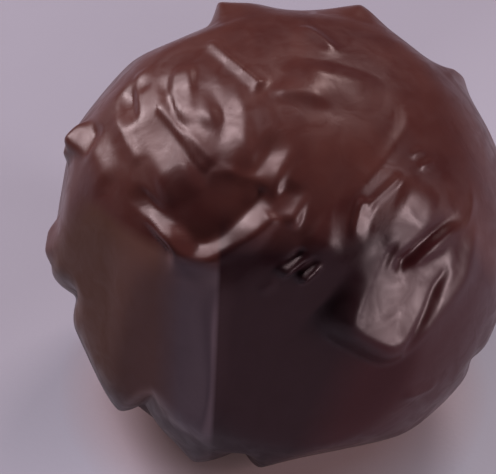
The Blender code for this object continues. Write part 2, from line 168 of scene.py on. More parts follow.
FOLDS: tuple[Fold, ...] = (
    # the lip under the cap, and the recess above it
    Fold(Side.SHOWN,
         ((-25, -4.2), (-19.6, -5), (-15.1, -5.3), (-10.7, -3), (-6.4, -0.8), (-3, 1.6), (-0.4, 4.4)),
         0.38, 1.4, 1.4, 0.1, (0.1, 0.08)),
    Fold(Side.SHOWN, ((-24, -1.6), (-17.3, -1.6), (-12.9, -0.2), (-9.6, 2.8), (-6.6, 6.3), (-2.8, 10.6)),
         -0.32, 3.2, 1.3, 0.12, (0.2, 0.1)),
    Fold(Side.SHOWN, ((5, 1), (9, -1.5), (14, -1.8)), 0.25, 4.0, 1.2, 0.2, (0.3, 0.5)),
    # pinches on the upper left of the shown side
    Fold(Side.SHOWN, ((-30.4, 32), (-28.4, 29.5), (-23.8, 24.3), (-20.5, 19.8), (-18, 16), (-15.6, 13.4)),
         0.16, 2.2, 0.3, 0.04, (0.25, 0.1)),
    Fold(Side.SHOWN, ((-27, 34), (-25.4, 30), (-23.4, 26.5), (-20.5, 22.5)),
         -0.14, 0.4, 0.5, 0.08, (0.3, 0.4)),
    Fold(Side.SHOWN, ((-22, 25), (-17.5, 19), (-12.8, 15), (-7.8, 12.4)),
         0.15, 1.6, 0.6, 0.08, (0.3, 0.15)),
    Fold(Side.SHOWN, ((-16, 14), (-12.5, 13.2), (-8.6, 12.6), (-5, 11)), 0.16, 0.6, 0.9, 0.08, (0.2, 0.2)),
    Fold(Side.SHOWN, ((-19, 52.2), (-13.6, 45.5), (-8.4, 39.8), (-3.8, 34.8)),
         0.24, 0.8, 0.7, 0.1, (0.15, 0.06)),
    Fold(Side.SHOWN, ((-6, 36), (-3.6, 33.4)), 0.1, 0.8, 0.7, 0.3, (0.4, 0.4)),
    Fold(Side.SHOWN, ((-3, 35), (0.7, 33.6), (7, 32.4), (12.3, 29.5)), 0.2, 1.2, 1.0, 0.2),
    Fold(Side.SHOWN, ((4.2, 60.1), (10.2, 55.5), (16.3, 46.7)), 0.25, 1.0, 1.0, 0.2),
    Fold(Side.SHOWN, ((-43, 33), (-40, 27), (-36, 21.3), (-32, 16)), 0.12, 0.7, 0.8, 0.1, (0.3, 0.15)),
    Fold(Side.SHOWN, ((-63, 21), (-61, 28), (-55, 36)), 0.55, 3.0, 3.2, 0.5, (0.2, 0.6)),
    Fold(Side.SHOWN, ((-50, 24), (-45.5, 18.5), (-40.5, 11)), 0.2, 1.0, 2.0, 0.6),
    Fold(Side.SHOWN, ((-74, -12), (-76, -4), (-74, 8)), 0.6, 1.5, 3.0, 0.4, (0.4, 0.4)),
    # folds on the right of the shown side
    Fold(Side.SHOWN, ((31, 35), (30.6, 27), (25.6, 19.5), (20, 13), (15.2, 7.5), (10.8, 1.7)),
         0.16, 1.8, 0.8, 0.12),
    Fold(Side.SHOWN, ((27.4, 13.6), (25, 11.4), (21.8, 8.7), (18.9, 6)),
         0.12, 0.5, 0.35, 0.06, (0.12, 0.12)),
    Fold(Side.SHOWN, ((29.9, 18), (32.6, 19.4), (35, 20)), 0.12, 0.4, 0.45, 0.06),
    Fold(Side.SHOWN, ((31.7, 15.8), (34, 16.4), (37, 18)), 0.12, 0.4, 0.45, 0.06),
    Fold(Side.SHOWN, ((26.5, 1.5), (23.2, -4), (20, -10.5), (17.5, -15.5), (15.3, -21)),
         0.06, 0.4, 1.5, 0.04, (0.2, 0.05)),
    Fold(Side.SHOWN, ((27.4, -1.5), (25.7, -5), (23.6, -9)), 0.11, 0.9, 0.3, 0.05, (0.3, 0.5)),
    Fold(Side.SHOWN, ((49.5, 13), (48.5, 8), (45.5, 2.5), (40, 0), (35, -3.6), (30, -8.3)),
         0.12, 0.9, 0.5, 0.1, (0.2, 0.1)),
    Fold(Side.SHOWN, ((26.5, -9.5), (29.3, -5.3), (33.8, -1.3), (39.3, 2.5), (45, 5.7)),
         -0.3, 0.8, 0.6, 0.1, (0.2, 0.3)),
    Fold(Side.SHOWN, ((41.2, -7), (37.6, -11.8), (35, -17.5), (32, -23), (29, -29.5)),
         -0.14, 0.6, 0.5, 0.1, (0.12, 0.15)),
    Fold(Side.SHOWN,
         ((52, 9), (49, 0.4), (46.3, -9.6), (42.7, -14.3), (37, -20.5), (32.2, -27), (28.5, -32.8)),
         0.2, 1.6, 1.4, 0.3),
    Fold(Side.SHOWN, ((31.3, -41.7), (36.7, -42.1), (44.6, -40.4)), 0.15, 0.8, 0.8, 0.1),
    # wrinkles on the front wall, and the upright edge between its two halves
    Fold(Side.SHOWN, ((-5, -13.4), (-0.5, -10)), 0.08, 0.6, 0.6, 0.1),
    Fold(Side.SHOWN, ((-14, -6), (-13.5, -12), (-15.5, -23), (-17, -38), (-22, -59.5)),
         0.25, 1.0, 3.0, 0.1, (0.1, 0.2)),
    # ridges and notches that cross the edge of the shown side
    Fold(Side.SHOWN, ((-64, 28), (-80, 35), (-96, 42)), 0.2, 1.0, 3.0, 0.3),
    Fold(Side.SHOWN, ((-15, 62), (-19.5, 79), (-25, 102)), 1.15, 1.2, 4.5, 0.15),
    Fold(Side.SHOWN, ((24, 66), (28, 77), (36, 98)), 0.65, 4.0, 2.5, 0.2),
    Fold(Side.SHOWN, ((52, 48), (60, 56), (75, 70)), 0.4, 2.2, 1.8, 0.15),
    Fold(Side.SHOWN, ((-20, -58), (-28, -77), (-37, -100)), 0.4, 1.8, 1.8, 0.3),
    Fold(Side.SHOWN, ((-3, -60), (-5, -82), (-7, -105)), 0.2, 4.0, 1.0, 0.1),
    Fold(Side.SHOWN, ((-9, -60), (-13, -80), (-18, -105)), -1.1, 1.2, 3.0, 0.3),
    Fold(Side.SHOWN, ((-33, -42), (-49, -63), (-65, -83)), -1.4, 6.0, 1.1, 0.15, (0.25, 0.2)),
    Fold(Side.SHOWN, ((-58, -15), (-78, -24), (-100, -31), (-118, -36)), -0.9, 2.0, 1.8, 0.3, (0.2, 0.2)),
    Fold(Side.SHOWN, ((56, -36), (69, -44), (84, -54)), -0.35, 1.4, 1.4, 0.2),
    # the sides turned away, rolled and pinched the same way
    Fold(Side.RIGHT, ((4, 36), (14, 21), (19, 5), (16, -16)), 0.6, 1.2, 3.0, 0.2),
    Fold(Side.RIGHT, ((32, 28), (27, 12), (31, -6)), 0.4, 1.6, 1.0, 0.15),
    Fold(Side.RIGHT, ((2, 8), (9, -7), (12, -26)), -0.45, 1.8, 1.0, 0.2),
    Fold(Side.RIGHT, ((12, -32), (26, -28), (40, -18)), 0.45, 2.2, 1.0, 0.2),
    Fold(Side.BACK, ((-38, 20), (-26, 8), (-12, 3), (2, 8), (8, 18)), 0.6, 1.3, 2.0, 0.15),
    Fold(Side.BACK, ((-34, 26), (-24, 13), (-11, 7), (0, 13)), -0.5, 3.2, 1.2, 0.2),
    Fold(Side.BACK, ((16, 28), (22, 18), (20, 4), (26, -10)), 0.5, 1.0, 2.4, 0.12),
    Fold(Side.BACK, ((34, 30), (38, 12), (34, -8)), 0.4, 1.2, 1.2, 0.2),
    Fold(Side.BACK, ((-30, -8), (-14, -14), (4, -9)), -0.4, 1.0, 2.0, 0.2),
    Fold(Side.BACK, ((-14, 30), (-3, 21), (10, 24)), 0.4, 1.5, 1.0, 0.15),
    Fold(Side.BACK, ((-36, -18), (-26, -24)), 0.6, 3.0, 2.4, 0.8),
    Fold(Side.LEFT, ((-16, 26), (-20, 14), (-17, 0), (-22, -14)), 0.5, 2.0, 1.0, 0.2),
    Fold(Side.LEFT, ((-38, 22), (-34, 8), (-40, -10)), 0.45, 1.0, 1.8, 0.15),
    Fold(Side.LEFT, ((-23, 24), (-26, 10), (-27, -6)), -0.4, 1.2, 1.2, 0.2),
    Fold(Side.LEFT, ((-6, -22), (-20, -28)), 0.5, 2.4, 2.0, 0.6),
)


DABS: tuple[Dab, ...] = (
    # faces between the pinches on the upper left of the shown side
    Dab(Side.SHOWN, (-25.8, 18.8), (-28, 28), 7.2, 3.4, -60, 0.05, 0.7),
    Dab(Side.SHOWN, (-38.3, 32), (-29, 43), 4.6, 1.7, -57, -0.2, 0.8),
    Dab(Side.SHOWN, (-28.4, 34.5), (-22, 42), 3.4, 1.2, -66, -0.05, 0.9),
    Dab(Side.SHOWN, (-35.5, 40.4), (-32, 30), 2.6, 1.4, -50, 0.0, 0.9),
    Dab(Side.SHOWN, (-53, 26.5), (-33, 30), 3.6, 2.6, -15, 0.1, 0.6),
    Dab(Side.SHOWN, (-23.2, 34.5), (-24, 30.5), 4.8, 1.9, -73, 0.1, 0.6),
    Dab(Side.SHOWN, (-16.2, 30.8), (-12, 39), 4.0, 1.8, -70, -0.05, 0.8),
    Dab(Side.SHOWN, (-20, 24.8), (-19, 20), 3.4, 1.8, -65, 0.0, 1.0),
    Dab(Side.SHOWN, (-10.4, 24.5), (-19, 29.5), 6.4, 2.5, -76, -0.05, 0.8),
    Dab(Side.SHOWN, (13, 36), (12, 34.5), 6.6, 4.6, -20, -0.1, 0.9),
    # round the neck of the lip
    Dab(Side.SHOWN, (-26.8, 3), (-20, 33), 6.0, 1.7, -42, 0.15, 0.7),
    Dab(Side.SHOWN, (-2.2, 13.9), (-14, 30), 5.2, 2.6, 68, 0.05, 0.7),
    Dab(Side.SHOWN, (2, 6.2), (-10, 31), 3.0, 2.2, 70, 0.05, 0.7),
    Dab(Side.SHOWN, (-4.4, 4.8), (-7, 14), 5.0, 2.8, 55, 0.05, 0.8),
    Dab(Side.SHOWN, (2.7, -6), (-12, 30), 2.3, 1.0, 42, 0.0, 0.5),
    Dab(Side.SHOWN, (6.2, -7.9), (-11, 30), 1.9, 0.9, 45, 0.0, 0.5),
    Dab(Side.SHOWN, (17.8, 3.2), (30.4, -2.5), 2.8, 1.5, 75, 0.12, 0.45),
    # the broad face on the right of the shown side
    Dab(Side.SHOWN, (25.6, -15.2), (29.2, -7), 8.6, 7.0, 66, -0.2, 0.48),
    Dab(Side.SHOWN, (36.8, -7.2), (29.2, -7), 3.8, 1.5, 28, -0.2, 0.6),
    Dab(Side.SHOWN, (29.8, 3.5), (29.6, 0), 5.0, 3.2, 62, 0, 0.6),
)


class Wires:
    """Builds one Geometry Nodes tree, node by node."""

    def __init__(self, name: str) -> None:
        """Starts an empty tree with a group input and a group output."""
        self.tree = bpy.data.node_groups.new(name, "GeometryNodeTree")
        self.source = self.tree.nodes.new("NodeGroupInput")
        self.result = self.tree.nodes.new("NodeGroupOutput")

    def entry(self, name: str, kind: str) -> Socket:
        """Adds a named input to the tree and returns its socket inside the tree."""
        self.tree.interface.new_socket(name, in_out="INPUT", socket_type=f"NodeSocket{kind}")
        return self.source.outputs[name]

    def exit(self, name: str, kind: str, value: Socket) -> None:
        """Adds a named output to the tree and joins a value to it."""
        self.tree.interface.new_socket(name, in_out="OUTPUT", socket_type=f"NodeSocket{kind}")
        self.feed(self.result.inputs[name], value)

    def feed(self, socket: Socket, value: Any) -> None:
        """Joins a socket to another one, or sets its value."""
        if isinstance(value, Socket):
            self.tree.links.new(value, socket)
        else:
            socket.default_value = value

    def node(self, kind: str, inputs: Optional[dict[str, Any]] = None, **settings: Any) -> bpy.types.Node:
        """Adds a node.

        Args:
            kind: The node's type.
            inputs: Values or sockets for its inputs, by name.
            settings: The node's own options.

        Returns:
            The node.
        """
        node = self.tree.nodes.new(kind)
        for option, value in settings.items():
            setattr(node, option, value)
        for name, value in (inputs or {}).items():
            self.feed(next(s for s in node.inputs if s.name == name and s.enabled), value)
        return node

    def math(self, operation: str, *values: Any) -> Socket:
        """Adds a Math node and returns its result."""
        node = self.tree.nodes.new("ShaderNodeMath")
        node.operation = operation
        for socket, value in zip(node.inputs, values):
            self.feed(socket, value)
        return node.outputs[0]

    def vector(self, operation: str, *values: Any) -> Socket:
        """Adds a Vector Math node and returns its result, a number for DOT_PRODUCT."""
        node = self.tree.nodes.new("ShaderNodeVectorMath")
        node.operation = operation
        slots = [node.inputs[0], node.inputs["Scale"]] if operation == "SCALE" else node.inputs
        for socket, value in zip(slots, values):
            self.feed(socket, value)
        return node.outputs["Value" if operation == "DOT_PRODUCT" else "Vector"]

    def smooth_step(self, value: Socket, full: Any) -> Socket:
        """Returns a smooth rise from 0 at no value to 1 at the full one."""
        inputs = {"Value": value, "From Max": full}
        return self.node("ShaderNodeMapRange", inputs, interpolation_type="SMOOTHSTEP").outputs["Result"]

    def attribute(self, name: str, kind: str = "FLOAT") -> Socket:
        """Returns a named attribute of whatever geometry the field is read on."""
        return self.node("GeometryNodeInputNamedAttribute", {"Name": name}, data_type=kind).outputs["Attribute"]

    def sample(self, geometry: Socket, value: Socket, index: Any, kind: str = "FLOAT") -> Socket:
        """Returns a field's value at one point of a geometry."""
        inputs = {"Geometry": geometry, "Value": value, "Index": index}
        return self.node("GeometryNodeSampleIndex", inputs, data_type=kind).outputs["Value"]

    def store(self, geometry: Socket, name: str, value: Any, kind: str = "FLOAT") -> Socket:
        """Returns the geometry with a field stored on its points under a name."""
        inputs = {"Geometry": geometry, "Name": name, "Value": value}
        return self.node("GeometryNodeStoreNamedAttribute", inputs, data_type=kind).outputs["Geometry"]

    def shape_from(self, carrier: Socket) -> Socket:
        """Returns the geometry of an object socket."""
        return self.node("GeometryNodeObjectInfo", {"Object": carrier}).outputs["Geometry"]

    def position(self) -> Socket:
        """Returns the position field."""
        return self.node("GeometryNodeInputPosition").outputs["Position"]

    def call(self, group: bpy.types.NodeTree, inputs: dict[str, Any]) -> Socket:
        """Adds another tree as a node and returns its first output."""
        node = self.tree.nodes.new("GeometryNodeGroup")
        node.node_tree = group
        for name, value in inputs.items():
            self.feed(node.inputs[name], value)
        return node.outputs[0]

    def repeat(self, geometry: Socket, count: Socket) -> tuple[Socket, Socket, bpy.types.Node]:
        """Opens a repeat zone.

        Args:
            geometry: What goes in at the first round.
            count: How many rounds there are.

        Returns:
            The round's number, the geometry inside the zone, and the node that closes it.
        """
        start = self.tree.nodes.new("GeometryNodeRepeatInput")
        end = self.tree.nodes.new("GeometryNodeRepeatOutput")
        start.pair_with_output(end)
        self.feed(start.inputs["Iterations"], count)
        self.feed(start.inputs["Geometry"], geometry)
        return start.outputs["Iteration"], start.outputs["Geometry"], end

    def points_in(self, geometry: Socket) -> Socket:
        """Returns how many points a geometry has."""
        return self.node("GeometryNodeAttributeDomainSize", {"Geometry": geometry}).outputs["Point Count"]


def press_tree() -> bpy.types.NodeTree:
    """Builds the tree that presses a rolled surface against a plane.

    Returns:
        The tree. Its output is the new radius along each direction.
    """
    wires = Wires("Press against a plane")
    radius, toward = wires.entry("Radius", "Float"), wires.entry("Toward", "Vector")
    outward, depth = wires.entry("Outward", "Vector"), wires.entry("Depth", "Float")
    rounding = wires.entry("Rounding", "Float")
    facing = wires.math("MAXIMUM", wires.vector("DOT_PRODUCT", toward, outward), 0.01)
    plane = wires.math("DIVIDE", depth, facing)
    wires.exit("Radius", "Float", wires.math("SMOOTH_MIN", radius, plane, rounding))
    return wires.tree


def dab_tree() -> bpy.types.NodeTree:
    """Builds the tree that flattens one small face of the surface.

    Returns:
        The tree. Its output is the new radius along each direction.
    """
    wires = Wires("Dab a face")
    radius, toward = wires.entry("Radius", "Float"), wires.entry("Toward", "Vector")
    ball, middle = wires.entry("Ball Radius", "Float"), wires.entry("Middle", "Vector")
    faces, height = wires.entry("Faces", "Vector"), wires.entry("Height", "Float")
    soft = wires.entry("Soft", "Float")
    parts = []
    for axis, size in (("Along", "Length"), ("Across", "Width")):
        offset = wires.math("MULTIPLY", wires.vector("DOT_PRODUCT", toward, wires.entry(axis, "Vector")), ball)
        share = wires.math("DIVIDE", offset, wires.math("MULTIPLY", wires.entry(size, "Float"), 0.5))
        parts.append(wires.math("POWER", wires.math("ABSOLUTE", share), 4.0))
    outness = wires.math("POWER", wires.math("ADD", *parts), 0.25)
    share = wires.smooth_step(wires.math("SUBTRACT", 1.0, outness), soft)
    near = wires.math("GREATER_THAN", wires.vector("DOT_PRODUCT", toward, middle), 0.0)
    share = wires.math("MULTIPLY", share, near)
    depth = wires.math("MULTIPLY", wires.math("ADD", ball, height), wires.vector("DOT_PRODUCT", middle, faces))
    plane = wires.math("DIVIDE", depth, wires.math("MAXIMUM", wires.vector("DOT_PRODUCT", toward, faces), 0.2))
    change = wires.math("MULTIPLY", share, wires.math("SUBTRACT", plane, radius))
    wires.exit("Radius", "Float", wires.math("ADD", radius, change))
    return wires.tree


def fold_tree() -> bpy.types.NodeTree:
    """Builds the tree that raises a ridge, or sinks a crease, along a path over the ball.

    Returns:
        The tree. Its output is the fold's height at each place.
    """
    wires = Wires("Fold along a path")
    path, place = wires.entry("Path", "Geometry"), wires.entry("Place", "Vector")
    height, crest = wires.entry("Height", "Float"), wires.entry("Crest", "Float")
    left, right = wires.entry("Left", "Float"), wires.entry("Right", "Float")
    fade_in, fade_out = wires.entry("Fade In", "Float"), wires.entry("Fade Out", "Float")
    run = wires.node("GeometryNodeInputTangent").outputs["Tangent"]
    passed = wires.node("GeometryNodeSplineParameter").outputs["Factor"]
    marked = wires.store(wires.store(path, "run", run, "FLOAT_VECTOR"), "passed", passed)
    line = wires.node("GeometryNodeCurveToMesh", {"Curve": marked}).outputs["Mesh"]
    nearest = {"Geometry": line, "Sample Position": place}
    index = wires.node("GeometryNodeSampleNearest", nearest).outputs["Index"]
    touch = wires.node("GeometryNodeProximity", nearest, target_element="EDGES")
    stop = wires.sample(line, wires.position(), index, "FLOAT_VECTOR")
    run_there = wires.sample(line, wires.attribute("run", "FLOAT_VECTOR"), index, "FLOAT_VECTOR")
    length = wires.node("GeometryNodeCurveLength", {"Curve": path}).outputs["Length"]
    beyond = wires.vector("DOT_PRODUCT", wires.vector("SUBTRACT", place, stop), run_there)
    along = wires.math(
        "ADD", wires.sample(line, wires.attribute("passed"), index), wires.math("DIVIDE", beyond, length)
    )
    leftward = wires.vector("CROSS_PRODUCT", stop, run_there)
    across = wires.vector("DOT_PRODUCT", wires.vector("SUBTRACT", place, touch.outputs["Position"]), leftward)
    on_left = wires.math("GREATER_THAN", across, 0.0)
    reach = wires.math("MULTIPLY_ADD", on_left, wires.math("SUBTRACT", left, right), right)
    distance = wires.math(
        "SQRT",
        wires.math("MULTIPLY_ADD", touch.outputs["Distance"], touch.outputs["Distance"],
                   wires.math("MULTIPLY", crest, crest)),
    )
    spent = wires.math("DIVIDE", wires.math("SUBTRACT", distance, crest), reach)
    flank = wires.math("POWER", wires.math("MAXIMUM", wires.math("SUBTRACT", 1.0, spent), 0.0), 2.0)
    ends = wires.math(
        "MULTIPLY",
        wires.smooth_step(along, fade_in),
        wires.smooth_step(wires.math("SUBTRACT", 1.0, along), fade_out),
    )
    wires.exit("Height", "Float", wires.math("MULTIPLY", wires.math("MULTIPLY", height, flank), ends))
    return wires.tree


@dataclass
class Truffle:
    """The rolled body: its sizes in metres, and its flats, dabs and folds."""

    ball_radius: float = 15.2 * MM
    foot_depth: float = 13.0 * MM
    foot_rounding: float = 1.6 * MM
    cells: int = 128
    path_points: int = 60
    relief: float = 0.03 * MM
    relief_grain: float = 420.0
    seed: float = 7.0
    flats: Sequence[Flat] = FLATS
    dabs: Sequence[Dab] = DABS
    folds: Sequence[Fold] = FOLDS

    @staticmethod
    def carrier(name: str, points: list[Vector], edges: list[tuple[int, int]],
                values: dict[str, list[Any]]) -> bpy.types.Object:
        """Makes a helper object whose points carry the sizes that the tree reads.

        Args:
            name: The object's name.
            points: The points' places.
            edges: Pairs of point numbers to join.
            values: For each attribute's name, one number or vector for each point.

        Returns:
            The object.
        """
        mesh = bpy.data.meshes.new(name)
        mesh.from_pydata(points, edges, [])
        for label, column in values.items():
            if isinstance(column[0], Vector):
                attribute = mesh.attributes.new(label, "FLOAT_VECTOR", "POINT")
                attribute.data.foreach_set("vector", [part for value in column for part in value])
            else:
                attribute = mesh.attributes.new(label, "FLOAT", "POINT")
                attribute.data.foreach_set("value", column)
        holder = bpy.data.objects.new(name, mesh)
        bpy.context.scene.collection.objects.link(holder)
        return holder

    def flats_carrier(self) -> bpy.types.Object:
        """Makes one point for each flat, at its direction from the ball's centre."""
        points = [flat.side.direction(flat.at) for flat in self.flats]
        values = {
            "depth": [flat.depth * MM for flat in self.flats],
            "rounding": [flat.rounding * MM for flat in self.flats],
        }
        return self.carrier("flats", points, [], values)

    def dabs_carrier(self) -> bpy.types.Object:
        """Makes one point for each dab, at its direction from the ball's centre."""
        points = [dab.side.direction(dab.at) for dab in self.dabs]
        values = {
            "faces": [dab.side.direction(dab.faces) for dab in self.dabs],
            "along": [dab.spread()[0] for dab in self.dabs],
            "across": [dab.spread()[1] for dab in self.dabs],
            "length": [dab.length * MM for dab in self.dabs],
            "width": [dab.width * MM for dab in self.dabs],
            "height": [dab.height * MM for dab in self.dabs],
            "soft": [dab.soft for dab in self.dabs],
        }
        return self.carrier("dabs", points, [], values)

    def folds_carrier(self) -> bpy.types.Object:
        """Makes a chain of points over the ball for each fold's path."""
        points: list[Vector] = []
        edges: list[tuple[int, int]] = []
        values: dict[str, list[Any]] = {
            name: [] for name in ("fold", "height", "left", "right", "crest", "fade_in", "fade_out")
        }
        for number, fold in enumerate(self.folds):
            first = len(points)
            points += [self.ball_radius * fold.side.direction(place) for place in fold.path]
            edges += [(index, index + 1) for index in range(first, len(points) - 1)]
            row = (float(number), fold.height * MM, fold.left * MM, fold.right * MM, fold.crest * MM, *fold.fades)
            for column, value in zip(values.values(), row):
                column += [value] * len(fold.path)
        return self.carrier("fold_paths", points, edges, values)

    def roll_flats(self, wires: Wires, ball: Socket, flats: Socket) -> Socket:
        """Adds the zone that presses each flat, and returns the geometry after it."""
        press = press_tree()
        number, body, end = wires.repeat(ball, wires.points_in(flats))
        radius = wires.call(press, {
            "Radius": wires.attribute("radius"),
            "Toward": wires.position(),
            "Outward": wires.sample(flats, wires.position(), number, "FLOAT_VECTOR"),
            "Depth": wires.sample(flats, wires.attribute("depth"), number),
            "Rounding": wires.sample(flats, wires.attribute("rounding"), number),
        })
        wires.feed(end.inputs["Geometry"], wires.store(body, "radius", radius))
        return end.outputs["Geometry"]

    def roll_dabs(self, wires: Wires, ball: Socket, dabs: Socket, size: Socket) -> Socket:
        """Adds the zone that flattens each dab, and returns the geometry after it."""
        dab = dab_tree()
        number, body, end = wires.repeat(ball, wires.points_in(dabs))
        inputs = {
            name: wires.sample(dabs, wires.attribute(name.lower()), number)
            for name in ("Length", "Width", "Height", "Soft")
        }
        for name in ("Faces", "Along", "Across"):
            inputs[name] = wires.sample(dabs, wires.attribute(name.lower(), "FLOAT_VECTOR"), number, "FLOAT_VECTOR")
        inputs["Middle"] = wires.sample(dabs, wires.position(), number, "FLOAT_VECTOR")
        inputs.update({"Radius": wires.attribute("radius"), "Toward": wires.position(), "Ball Radius": size})
        wires.feed(end.inputs["Geometry"], wires.store(body, "radius", wires.call(dab, inputs)))
        return end.outputs["Geometry"]

    def roll_folds(self, wires: Wires, ball: Socket, folds: Socket, count: Socket, size: Socket) -> Socket:
        """Adds the zone that raises each fold along its smooth path, and returns the geometry."""
        fold = fold_tree()
        number, body, end = wires.repeat(ball, count)
        here = wires.node(
            "FunctionNodeCompare", {"A": wires.attribute("fold"), "B": number, "Epsilon": 0.5},
            data_type="FLOAT", operation="EQUAL",
        ).outputs["Result"]
        chain = wires.node("GeometryNodeSeparateGeometry", {"Geometry": folds, "Selection": here})
        curve = wires.node("GeometryNodeMeshToCurve", {"Mesh": chain.outputs["Selection"]})
        bend = wires.node("GeometryNodeCurveSplineType", {"Curve": curve.outputs["Curve"]}, spline_type="CATMULL_ROM")
        line = wires.node("GeometryNodeResampleCurve", {"Curve": bend.outputs["Curve"], "Count": self.path_points})
        on_ball = wires.vector("SCALE", wires.vector("NORMALIZE", wires.position()), size)
        path = wires.node("GeometryNodeSetPosition", {"Geometry": line.outputs["Curve"], "Position": on_ball})
        inputs = {
            name: wires.sample(chain.outputs["Selection"], wires.attribute(label), 0)
            for name, label in (("Height", "height"), ("Left", "left"), ("Right", "right"), ("Crest", "crest"),
                                ("Fade In", "fade_in"), ("Fade Out", "fade_out"))
        }
        inputs.update({"Path": path.outputs["Geometry"], "Place": wires.vector("SCALE", wires.position(), size)})
        radius = wires.math("ADD", wires.attribute("radius"), wires.call(fold, inputs))
        wires.feed(end.inputs["Geometry"], wires.store(body, "radius", radius))
        return end.outputs["Geometry"]

    def tree(self) -> bpy.types.NodeTree:
        """Builds the whole tree, from the ball to the finished surface."""
        wires = Wires("Rolled truffle")
        size, depth = wires.entry("Ball Radius", "Float"), wires.entry("Foot Depth", "Float")
        rounding, cells = wires.entry("Foot Rounding", "Float"), wires.entry("Cells", "Int")
        relief, grain = wires.entry("Relief", "Float"), wires.entry("Relief Grain", "Float")
        seed, material = wires.entry("Seed", "Float"), wires.entry("Material", "Material")
        flats = wires.shape_from(wires.entry("Flats", "Object"))
        dabs = wires.shape_from(wires.entry("Dabs", "Object"))
        folds = wires.shape_from(wires.entry("Folds", "Object"))
        count = wires.entry("Fold Count", "Int")
        rows = wires.math("ADD", cells, 1)
        cube = wires.node("GeometryNodeMeshCube", {
            "Size": (2.0, 2.0, 2.0), "Vertices X": rows, "Vertices Y": rows, "Vertices Z": rows,
        }).outputs["Mesh"]
        split = wires.node("ShaderNodeSeparateXYZ", {"Vector": wires.position()})
        spread = wires.node("ShaderNodeCombineXYZ", {
            axis: wires.math("TANGENT", wires.math("MULTIPLY", split.outputs[axis], math.pi / 4)) for axis in "XYZ"
        }).outputs["Vector"]
        ball = wires.node(
            "GeometryNodeSetPosition", {"Geometry": cube, "Position": wires.vector("NORMALIZE", spread)}
        ).outputs["Geometry"]
        ball = wires.store(ball, "radius", size)
        ball = self.roll_flats(wires, ball, flats)
        ball = self.roll_dabs(wires, ball, dabs, size)
        ball = self.roll_folds(wires, ball, folds, count, size)
        noise = wires.node("ShaderNodeTexNoise", {
            "Vector": wires.vector("SCALE", wires.position(), size), "W": seed, "Scale": grain, "Detail": 2.0,
        }, noise_dimensions="4D").outputs[0]
        smoothed = wires.math("SUBTRACT", wires.attribute("radius"), wires.math("MULTIPLY", relief, noise))
        pressed = wires.call(press_tree(), {
            "Radius": smoothed, "Toward": wires.position(), "Outward": (0.0, 0.0, -1.0),
            "Depth": depth, "Rounding": rounding,
        })
        lift = wires.node("ShaderNodeCombineXYZ", {"Z": depth}).outputs["Vector"]
        place = wires.vector("ADD", wires.vector("SCALE", wires.position(), pressed), lift)
        body = wires.node("GeometryNodeSetPosition", {
            "Geometry": ball, "Position": wires.vector("MAXIMUM", place, (-1.0, -1.0, 0.0)),
        }).outputs["Geometry"]
        body = wires.node("GeometryNodeSetShadeSmooth", {"Geometry": body}).outputs["Geometry"]
        body = wires.node("GeometryNodeRealizeInstances", {"Geometry": body}).outputs["Geometry"]
        body = wires.node("GeometryNodeSetMaterial", {"Geometry": body, "Material": material}).outputs["Geometry"]
        wires.exit("Geometry", "Geometry", body)
        return wires.tree

    def build(self, material: bpy.types.Material) -> bpy.types.Object:
        """Rolls the truffle and puts it in place of the plain solid.

        Args:
            material: The chocolate it is made of.

        Returns:
            The finished object.
        """
        carriers = [self.flats_carrier(), self.dabs_carrier(), self.folds_carrier()]
        tree = self.tree()
        seed_mesh = bpy.data.meshes.new("truffle_seed")
        roller = bpy.data.objects.new("truffle_seed", seed_mesh)
        bpy.context.scene.collection.objects.link(roller)
        modifier = roller.modifiers.new("Rolled truffle", "NODES")
        modifier.node_group = tree
        values = {
            "Ball Radius": self.ball_radius, "Foot Depth": self.foot_depth, "Foot Rounding": self.foot_rounding,
            "Cells": self.cells, "Relief": self.relief, "Relief Grain": self.relief_grain, "Seed": self.seed,
            "Material": material, "Flats": carriers[0], "Dabs": carriers[1], "Folds": carriers[2],
            "Fold Count": len(self.folds),
        }
        for item in tree.interface.items_tree:
            if item.in_out == "INPUT":
                modifier[item.identifier] = values[item.name]
        bpy.context.view_layer.update()
        graph = bpy.context.evaluated_depsgraph_get()
        mesh = bpy.data.meshes.new_from_object(roller.evaluated_get(graph))
        mesh.name = "rolled_truffle"
        for label in ("radius",):
            mesh.attributes.remove(mesh.attributes[label])
        truffle = bpy.data.objects.new("rolled_truffle", mesh)
        bpy.context.scene.collection.objects.link(truffle)
        for helper in (*carriers, roller):
            bpy.data.objects.remove(helper)
        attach(truffle, "root")
        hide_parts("truffle")
        return truffle


